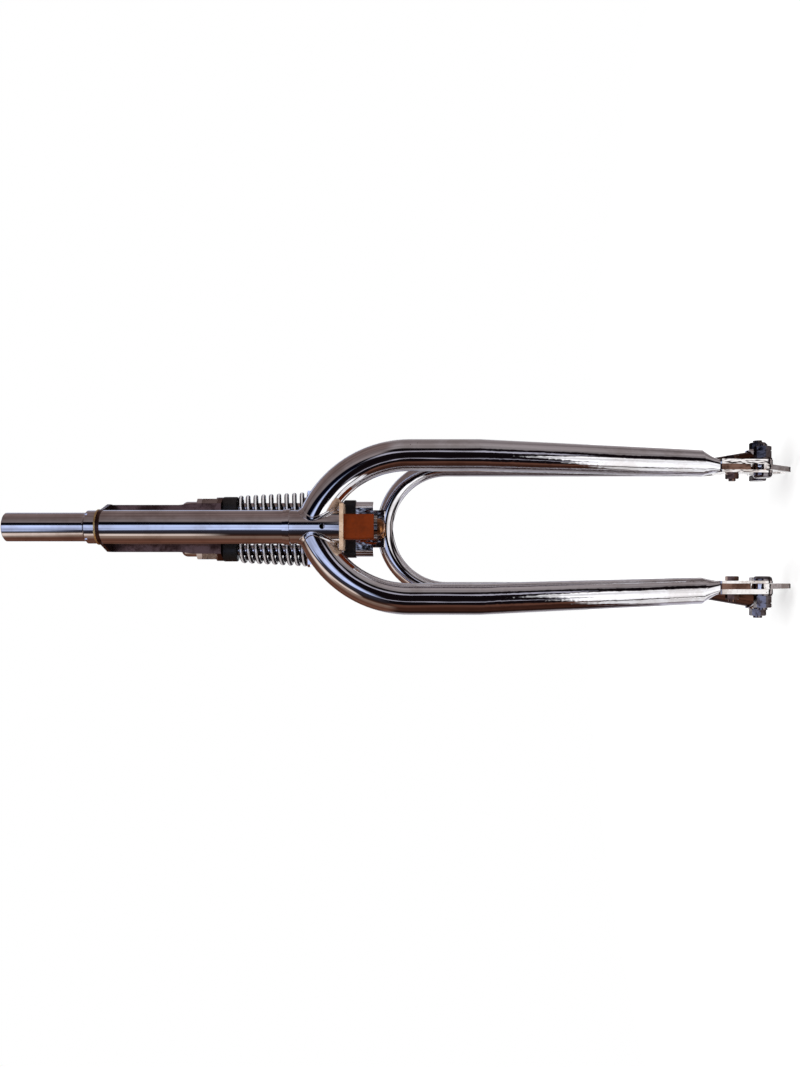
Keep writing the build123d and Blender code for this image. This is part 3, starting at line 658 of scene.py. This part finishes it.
def metal(name, colour, dull_colour, clean, dull, patch=30.0, scratch=0.3, ripple=0.0,
          ripple_scale=40.0, lines=0.0, upright=0.0, spots=0.35, metallic=1.0,
          foot_reflection_colour=None, painted_glint_colour=None):
    """Metal whose colour and roughness go dull in handled patches, with dark freckles, and
    whose bump adds hairlines, tube ripple and lathe lines, each times its own depth. A painted
    brown reflection colour takes over at the fork's feet, and a painted highlight colour where
    the mesh's own attribute "outward" is near 1. That highlight is made less metallic, so it is only
    partly a mirror."""
    material = bpy.data.materials.new(name)
    material.use_nodes = True
    tree = material.node_tree
    shader = tree.nodes["Principled BSDF"].inputs
    shader["Metallic"].default_value = metallic
    marks = place_group(tree, marks_group, Scale=patch, Clean=clean, Dull=dull)
    spot_mask = place_group(tree, freckle_group, Amount=spots)["Mask"]
    base = colour_mix(tree, marks["Mask"], colour, dull_colour)
    rough = sums(tree, "ADD", marks["Roughness"],
                 sums(tree, "MULTIPLY", spot_mask, freckle_roughness))
    # Painted brown reflection: a dark brown colour at the feet of the fork.
    if foot_reflection_colour:
        foot_reflection_mask = place_group(tree, foot_reflection_group)["Mask"]
        base = colour_mix(tree, foot_reflection_mask, base, foot_reflection_colour)
        rough = sums(tree, "ADD", rough, sums(tree, "MULTIPLY", foot_reflection_mask, foot_roughness))
    # Painted highlight: a pale, less metallic colour on the outward side of the wire.
    if painted_glint_colour:
        outward = add_node(tree, "ShaderNodeAttribute", attribute_name="outward").outputs["Fac"]
        glint = rescale(tree, outward, *glint_edge, smooth=True)
        base = colour_mix(tree, glint, base, painted_glint_colour)
        glint_nonmetal = sums(tree, "MULTIPLY", glint, glint_nonmetal_share)
        tree.links.new(sums(tree, "SUBTRACT", metallic, glint_nonmetal), shader["Metallic"])
    tree.links.new(colour_mix(tree, spot_mask, base, freckle_colour), shader["Base Color"])
    tree.links.new(rough, shader["Roughness"])
    heights = place_group(tree, hairline_group, Depth=scratch)["Height"]
    if ripple:
        waves = place_group(tree, ripple_group, Scale=ripple_scale, Depth=ripple)
        heights = sums(tree, "ADD", heights, waves["Height"])
    if lines:
        turned = place_group(tree, turned_group, Depth=lines, Upright=upright)
        heights = sums(tree, "ADD", heights, turned["Height"])
    finish_with_bump(tree, shader, heights, distance=0.00001, strength=0.6)
    return material


print("metal builder ready")

# %% [markdown]
# Chrome is nearly white and nearly a mirror, so its finish is mostly what spoils it: a little
# dullness, a faint ripple and few freckles. The front fork's feet stand deep between the nuts,
# and its tube gets the same chrome with a dark brown colour there: a painted brown reflection.

# %% Chrome
chrome_look = dict(colour=screen_colour(234, 233, 236), dull_colour=screen_colour(214, 210, 210),
                   clean=0.03, dull=0.07, scratch=0.08, ripple=16.0, spots=0.28)
chrome = metal("chrome", **chrome_look)
# The front fork's tube gets a painted brown reflection at its feet.
front_fork_chrome = metal("front_fork_chrome", **chrome_look,
                          foot_reflection_colour=screen_colour(72, 44, 34))
print(chrome.name, front_fork_chrome.name)

# %% [markdown]
# The plates at the axle are cut from sheet and chromed like the tubes, but sheet keeps a short
# wave from the rollers, so its reflections break up. The bracket that holds the springs, the
# spacers between the plates and the stay bolts get darker, browner colours: a painted brown
# reflection of the brown round them. The plate under the crown is bare, pale and hardly shines.

# %% Plates and bracket
plate_steel = metal("plate_steel", screen_colour(236, 232, 230), screen_colour(196, 186, 180),
                    clean=0.06, dull=0.14, patch=60.0, scratch=0.4, ripple=55.0,
                    ripple_scale=260.0, spots=0.40)
# Painted brown reflection: spacers and stay bolts take the brown they mirror as their colour.
brown_reflection_steel = metal("brown_reflection_steel", screen_colour(118, 90, 78), screen_colour(80, 56, 46),
                     clean=0.12, dull=0.26, patch=45.0, scratch=0.6, ripple=30.0,
                     ripple_scale=160.0, spots=0.42)
# Painted dark brown reflection for the spring bracket.
bracket_steel = metal("bracket_steel", screen_colour(104, 78, 70), screen_colour(68, 46, 40),
                      clean=0.22, dull=0.40, patch=45.0, scratch=0.6, ripple=30.0,
                      ripple_scale=160.0, spots=0.42)
crown_plate_steel = metal("crown_plate_steel", screen_colour(246, 214, 184),
                          screen_colour(220, 184, 152), clean=0.26, dull=0.42, patch=70.0,
                          scratch=0.6, spots=0.40, metallic=0.35)
print(plate_steel.name, brown_reflection_steel.name, bracket_steel.name, crown_plate_steel.name)

# %% [markdown]
# Nuts and bolts are turned and only lightly plated. The springs get a near-black colour and a
# painted highlight: a pale, less metallic line along the outside of each turn. The wire's mesh
# will carry an attribute that is 1 on its outer side, and the finish reads it.

# %% Nuts, bolts and springs
fastener_steel = metal("fastener_steel", screen_colour(136, 130, 134),
                       screen_colour(92, 80, 76), clean=0.08, dull=0.20, patch=110.0,
                       scratch=0.3, ripple=14.0, ripple_scale=220.0, lines=1.6, spots=0.40)
rod_nut_steel = metal("rod_nut_steel", screen_colour(186, 178, 176),
                      screen_colour(140, 126, 118), clean=0.08, dull=0.18, patch=110.0,
                      scratch=0.3, ripple=14.0, ripple_scale=220.0, lines=1.6, upright=1.0,
                      spots=0.38)
# Near-black wire with a painted highlight line along the outside of each turn.
spring_steel = metal("spring_steel", screen_colour(62, 52, 52), screen_colour(36, 28, 28),
                     clean=0.07, dull=0.16, patch=90.0, scratch=0.4, spots=0.4,
                     painted_glint_colour=screen_colour(240, 238, 242))
print(fastener_steel.name, rod_nut_steel.name, spring_steel.name)

# %% [markdown]
# Brass under the lock collar and bronze in the pivots are softer metals. They were turned on a
# lathe and never plated, so their lines are deeper and their dull patches browner.

# %% Brass and bronze
brass_ring = metal("brass_ring", screen_colour(255, 232, 170), screen_colour(226, 180, 110),
                   clean=0.42, dull=0.55, patch=90.0, scratch=0.4, lines=3.0, upright=1.0, spots=0.40)
bush_bronze = metal("bush_bronze", screen_colour(206, 142, 86), screen_colour(136, 88, 56),
                    clean=0.18, dull=0.36, patch=100.0, scratch=0.4, lines=2.0, spots=0.40)
print(brass_ring.name, bush_bronze.name)

# %% [markdown]
# ## Rubber and the brown block
# Moulded rubber is never black: it is a dark grey with a faint bloom, and its skin is finely
# grained. The block under the crown is a hard red-brown composition, sawn and rubbed flat, so
# it has a slow mottle and a fine grain along its height.

# %% Build a moulded stuff
mottle_share = 0.5
mottle_size = 0.15


def moulded(name, colour, worn_colour, clean, dull, patch, grain_scale, grain_depth,
            stretch=(1.0, 1.0, 1.0), gloss=0.35):
    """Dull stuff with two colours mixed by worn patches and a mottle, and a bump of fine
    noise, pulled out by the stretch to give a grain."""
    material = bpy.data.materials.new(name)
    material.use_nodes = True
    tree = material.node_tree
    shader = tree.nodes["Principled BSDF"].inputs
    shader["Specular IOR Level"].default_value = gloss
    marks = place_group(tree, marks_group, Scale=patch, Clean=clean, Dull=dull)
    pulled = pull_out(tree, add_node(tree, "ShaderNodeTexCoord").outputs["Object"], stretch)
    mottle = noise(tree, pulled, grain_scale * mottle_size, detail=4.0)
    share = sums(tree, "ADD", sums(tree, "MULTIPLY", marks["Mask"], mottle_share),
                 sums(tree, "MULTIPLY", mottle, mottle_share))
    tree.links.new(colour_mix(tree, share, colour, worn_colour), shader["Base Color"])
    tree.links.new(marks["Roughness"], shader["Roughness"])
    grain = noise(tree, pulled, grain_scale)
    finish_with_bump(tree, shader, grain, distance=grain_depth, strength=0.5)
    return material


black_rubber = moulded("black_rubber", screen_colour(14, 11, 12), screen_colour(36, 32, 33),
                       clean=0.42, dull=0.62, patch=60.0, grain_scale=2200.0,
                       grain_depth=0.00008)
brown_block = moulded("brown_block", screen_colour(120, 44, 0), screen_colour(82, 30, 4),
                      clean=0.58, dull=0.74, patch=50.0, grain_scale=900.0,
                      grain_depth=0.00005, stretch=(1.0, 1.0, 0.25), gloss=0.12)
print(black_rubber.name, brown_block.name)

# %% [markdown]
# ## A finish for every imported part
# The imported record already says which finish each part has. Reading it keeps the render and
# the record together: a new part only needs its finish named once, in the model. Only a few
# parts are named here: the spacers, stay bolts and spring bracket with a painted brown
# reflection, the front fork with a painted brown reflection at its feet, the rolled yoke, the
# fender bolt in bronze colour as a painted tan reflection, and what was turned about an
# upright line: the nuts and washers of the rods, the fender washer and the stem's plug.

# %% Assign the finishes
finishes = {material.name: material for material in (
    chrome, plate_steel, crown_plate_steel, fastener_steel, spring_steel, black_rubber,
    brass_ring, bush_bronze, brown_block)}
parts_by_finish = {
    # Spacers, stay bolts and the spring bracket carry a painted brown reflection.
    brown_reflection_steel: ("dropout_spacer_left", "dropout_spacer_right", "stay_bolts", "stay_nuts"),
    bracket_steel: ("spring_bracket",),
    # The fender bolt's bronze colour is a painted tan reflection.
    bush_bronze: ("fender_bolt",),
    plate_steel: ("front_yoke",),
    # The front fork's tube and bosses carry the painted brown reflection at the feet.
    front_fork_chrome: ("front_fork_tube", "pivot_boss_left", "pivot_boss_right"),
    rod_nut_steel: ("rod_nuts", "rod_lock_nuts", "rod_washers", "fender_washer", "stem_plug")}
own_finish = {name: finish for finish, names in parts_by_finish.items() for name in names}
used = {}
for part in frame["record"]["subparts"]:
    name = part["node"]
    finish = own_finish.get(name, finishes[part["material_slot"]])
    nodes[name].data.materials.clear()
    nodes[name].data.materials.append(finish)
    used[finish.name] = used.get(finish.name, 0) + 1
print("finishes", used)

# %% [markdown]
# ## Coil springs
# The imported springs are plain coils. A real compression spring is wound with its last turn
# lying shut against the one before, and that turn is ground flat so that it stands square on
# its seat. A wire carried along a helix does it: the pitch is the wire's own thickness at the
# ends and opens in between, and the ground faces are made by stopping points at the seats.

# %% Wound wire
spring_wire = 0.0042
spring_top_width = 0.0235
spring_turns = 9
shut_turns = 1.0
turn_steps = 56
wire_steps = 18
ground_share = 0.30
shut_gap = 1.02


def wound_wire(centre, low_radius, top_radius, low, high):
    """Wire round a conical helix. With s from 0 to 1 along the wire, the turning angle is
    2 pi times turns times s, the radius goes straight from low to top, and the height is the
    running sum of a pitch that is shut at both ends and open between. A ring of the wire's
    radius is set across the path, and points past the two seats are stopped at them. Returns
    the points, and for each the cosine of its place round the wire, 1 on the outer side."""
    steps = spring_turns * turn_steps + 1
    share = np.linspace(0, 1, steps)
    turn = share * spring_turns
    edge = np.clip(np.minimum(turn, spring_turns - turn) / shut_turns, 0, 1)
    openness = edge ** 2 * (3 - 2 * edge)
    shut_pitch = spring_wire * shut_gap
    sunk = spring_wire * (0.5 - 0.5 * ground_share)
    length = high - low - 2 * sunk
    mean_open = np.sum((openness[1:] + openness[:-1]) / 2 * np.diff(turn))
    open_pitch = (length - shut_pitch * spring_turns) / mean_open
    pitch = shut_pitch + open_pitch * openness
    step = np.diff(turn) * (pitch[1:] + pitch[:-1]) / 2
    rise = np.concatenate(([0], np.cumsum(step)))
    height = low + sunk + rise
    angle = 2 * math.pi * turn
    radius = low_radius + (top_radius - low_radius) * share
    path = np.stack((centre[0] + radius * np.cos(angle),
                     centre[1] + radius * np.sin(angle), height), axis=-1)
    along = np.gradient(path, axis=0)
    along /= np.linalg.norm(along, axis=1, keepdims=True)
    outward = np.stack((np.cos(angle), np.sin(angle), np.zeros(steps)), axis=-1)
    across = np.cross(along, outward)
    ring = np.linspace(0, 2 * math.pi, wire_steps, endpoint=False)
    wire = spring_wire / 2
    points = (path[:, None] + wire * np.cos(ring)[None, :, None] * outward[:, None]
              + wire * np.sin(ring)[None, :, None] * across[:, None])
    points[..., 2] = np.clip(points[..., 2], low, high)
    return points, np.tile(np.cos(ring), steps)


print("wire", spring_wire, "turns", spring_turns)

# %% Close a bar and turn its faces out
def cap_ends(mesh_points, faces_mesh):
    """Close the wire's two cut ends with one flat face each."""
    rows, columns = mesh_points.shape[:2]
    first = list(range(columns))[::-1]
    last = list(range((rows - 1) * columns, rows * columns))
    old = [tuple(face.vertices) for face in faces_mesh.polygons]
    faces_mesh.clear_geometry()
    faces_mesh.from_pydata(mesh_points.reshape(-1, 3), [], old + [tuple(first), tuple(last)])
    smooth = np.ones(len(old) + 2, bool)
    smooth[-2:] = False
    faces_mesh.polygons.foreach_set("use_smooth", smooth)
    faces_mesh.update()


def face_outwards(mesh):
    """Turn all faces of a closed mesh the same way, away from its inside."""
    work = bmesh.new()
    work.from_mesh(mesh)
    bmesh.ops.recalc_face_normals(work, faces=work.faces)
    work.to_mesh(mesh)
    work.free()


print("mesh helpers ready")

# %% [markdown]
# Each spring fills the height of the imported coil that it replaces.

# %% Both springs
for side in ("left", "right"):
    low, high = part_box(f"coil_spring_{side}")
    centre = ((low.x + high.x) / 2, (low.y + high.y) / 2)
    low_radius = (high.x - low.x - spring_wire) / 2
    top_radius = (spring_top_width - spring_wire) / 2
    points, outward = wound_wire(centre, low_radius, top_radius, low.z, high.z)
    mesh = grid_mesh(f"wound_spring_{side}", points, close_columns=True)
    cap_ends(points, mesh)
    face_outwards(mesh)
    # The outward attribute places the painted highlight line on each turn.
    mesh.attributes.new("outward", "FLOAT", "POINT").data.foreach_set("value", outward)
    spring = add_piece(f"wound_spring_{side}", mesh, spring_steel)
    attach(spring, "rear_fork")
    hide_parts(f"coil_spring_{side}")
    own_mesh(spring)

# %% [markdown]
# ## Brazed joints
# Where two parts are brazed, a little filler runs into the corner and sets as a hollow curve.
# Booleans and bevels struggle where a tube meets a tube, so the filler is made as a strip: one
# edge lies on the first part, one on the second, and a Bezier curve that is pulled towards the
# corner joins them. The strip is closed behind, inside the metal, so it is a solid bead.

# %% Filler strip
inside_pull = 0.6
mirror = {"left": np.array((1, 1, 1)), "right": np.array((1, -1, 1))}


def filler_strip(name, on_first, corner, on_second, body, closed=True, steps=7):
    """Bead along a joint. At share t across the bead its surface is the curve
    (1-t)^2 A + 2t(1-t) C + t^2 B, from the edge A on one part to the edge B on the other with
    the corner C as its pull, and the corner itself closes the bead inside the parts."""
    t = np.linspace(0, 1, steps)[None, :, None]
    hollow = ((1 - t) ** 2 * on_first[:, None] + 2 * t * (1 - t) * corner[:, None]
              + t ** 2 * on_second[:, None])
    middle_line = (on_first + on_second) / 2
    inside = corner + inside_pull * (corner - middle_line)
    bead = np.concatenate((hollow, inside[:, None]), axis=1)
    mesh = grid_mesh(name, bead, close_rows=closed, close_columns=True)
    if not closed:
        cap_ends(bead, mesh)
    face_outwards(mesh)
    piece = add_piece(name, mesh, chrome)
    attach(piece, body)
    return piece


print("filler helper ready for", sorted(mirror))

# %% [markdown]
# A leg meets the stem in a fish-mouth. The leg is a bent tube: with p round the tube and a
# along the bend, its surface lies R + r cos p from the middle of the bend. Where the stem
# stands, y is fixed by x on the stem's own circle, and that gives the angle a for each p. So
# the whole saddle-shaped joint comes from one line of algebra, with no cutting of meshes.

# %% Leg and stem
bend_radius = 0.092
bend_middle_y = -0.0285
bend_middle_z = -0.108
leg_bead = 0.0032


def leg_normal(p, a):
    """Outward direction of the bent tube: (sin p, cos p cos a, cos p sin a)."""
    return np.stack((np.sin(p), np.cos(p) * np.cos(a), np.cos(p) * np.sin(a)), axis=-1)


def leg_surface(p, a):
    """Bent tube: x = r sin p, and the rest is R + r cos p from the bend's middle, at angle a."""
    away = bend_radius + leg_radius * np.cos(p)
    return np.stack((leg_radius * np.sin(p), bend_middle_y + away * np.cos(a),
                     bend_middle_z + away * np.sin(a)), axis=-1)


def onto_stem(points):
    """Push points level to the stem's surface: x and y are scaled to the stem's radius."""
    level = np.linalg.norm(points[:, :2], axis=1, keepdims=True)
    moved = points.copy()
    moved[:, :2] *= stem_radius / level
    return moved


around_leg = np.linspace(0, 2 * math.pi, 120, endpoint=False)
reach = bend_radius + leg_radius * np.cos(around_leg)
stem_y = np.sqrt(stem_radius ** 2 - (leg_radius * np.sin(around_leg)) ** 2)
joint_angle = np.arccos((stem_y - bend_middle_y) / reach)
joint = leg_surface(around_leg, joint_angle)
leg_edge = leg_surface(around_leg, joint_angle - leg_bead / reach)
stem_edge = onto_stem(joint + leg_bead * leg_normal(around_leg, joint_angle))
for side, flip in mirror.items():
    filler_strip(f"crown_braze_{side}", leg_edge * flip, joint * flip, stem_edge * flip,
                 "rear_fork")
print("joint height", joint[:, 2].min().round(4), joint[:, 2].max().round(4))

# %% [markdown]
# The shelf lies across the front of the stem and against the shoulders of both legs. On the
# stem its joint is an arc of a circle. On a leg it is the cut of a level plane through the
# bent tube, which the same formula gives once the height is fixed instead of the stem.

# %% Shelf and stem
shelf_bead = 0.0026
shelf_top_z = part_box("guide_shelf")[1].z
stem_arc = (-32, 32)
leg_arc = (47, 66)
side_bead = shelf_bead * 0.8

arc = np.radians(np.linspace(*stem_arc, 24))
ring_line = np.stack((np.cos(arc), np.sin(arc), np.zeros(len(arc))), axis=-1)
shelf_line = ring_line * stem_radius + (0, 0, shelf_top_z)
filler_strip("shelf_braze_stem", shelf_line + (0, 0, shelf_bead), shelf_line,
             shelf_line + ring_line * shelf_bead, "rear_fork", closed=False)

side_share = np.radians(np.linspace(*leg_arc, 14))
side_away = bend_radius + leg_radius * np.cos(side_share)
side_angle = np.arcsin((shelf_top_z - bend_middle_z) / side_away)
side_line = leg_surface(side_share, side_angle)
side_out = leg_normal(side_share, side_angle) * (1, 1, 0)
side_out /= np.linalg.norm(side_out, axis=1, keepdims=True)
leg_side = leg_surface(side_share, side_angle + side_bead / side_away)
for side, flip in mirror.items():
    filler_strip(f"shelf_braze_{side}", leg_side * flip, side_line * flip,
                 (side_line + side_out * shelf_bead) * flip, "rear_fork", closed=False)
print("shelf top", round(shelf_top_z, 4))

# %% [markdown]
# At the foot of the front fork the tube stands on a short boss that lies across it. The joint
# is again one formula: on the tube's circle x is known, and the boss's circle gives the height.

# %% Boss and tube
tube_radius = 0.008
tube_bead = 0.0024
tube_steps = 72
boss_low, boss_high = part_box("pivot_boss_left")
boss_radius = (boss_high.x - boss_low.x) / 2
boss_x = (boss_high.x + boss_low.x) / 2
boss_z = (boss_high.z + boss_low.z) / 2
boss_middle = (boss_high.y + boss_low.y) / 2
boss_half = (boss_high.y - boss_low.y) / 2

around_tube = np.linspace(0, 2 * math.pi, tube_steps, endpoint=False)
tube_out = np.stack((np.cos(around_tube), np.sin(around_tube), np.zeros(tube_steps)), axis=-1)
foot_line = tube_out * tube_radius
foot_line[:, 2] = np.sqrt(boss_radius ** 2 - foot_line[:, 0] ** 2)
spread = foot_line + tube_out * tube_bead
shrink = boss_radius / np.hypot(spread[:, 0], spread[:, 2])
boss_edge = np.stack((spread[:, 0] * shrink, np.clip(spread[:, 1], -boss_half, boss_half),
                      spread[:, 2] * shrink), axis=-1)
tube_edge = foot_line + (0, 0, tube_bead)
for side, flip in mirror.items():
    place = np.array((boss_x, boss_middle, boss_z)) * flip
    filler_strip(f"boss_braze_{side}", tube_edge * flip + place, foot_line * flip + place,
                 boss_edge * flip + place, "sprung_fork")
print("boss radius", round(boss_radius, 4), "middle", round(boss_middle, 4))
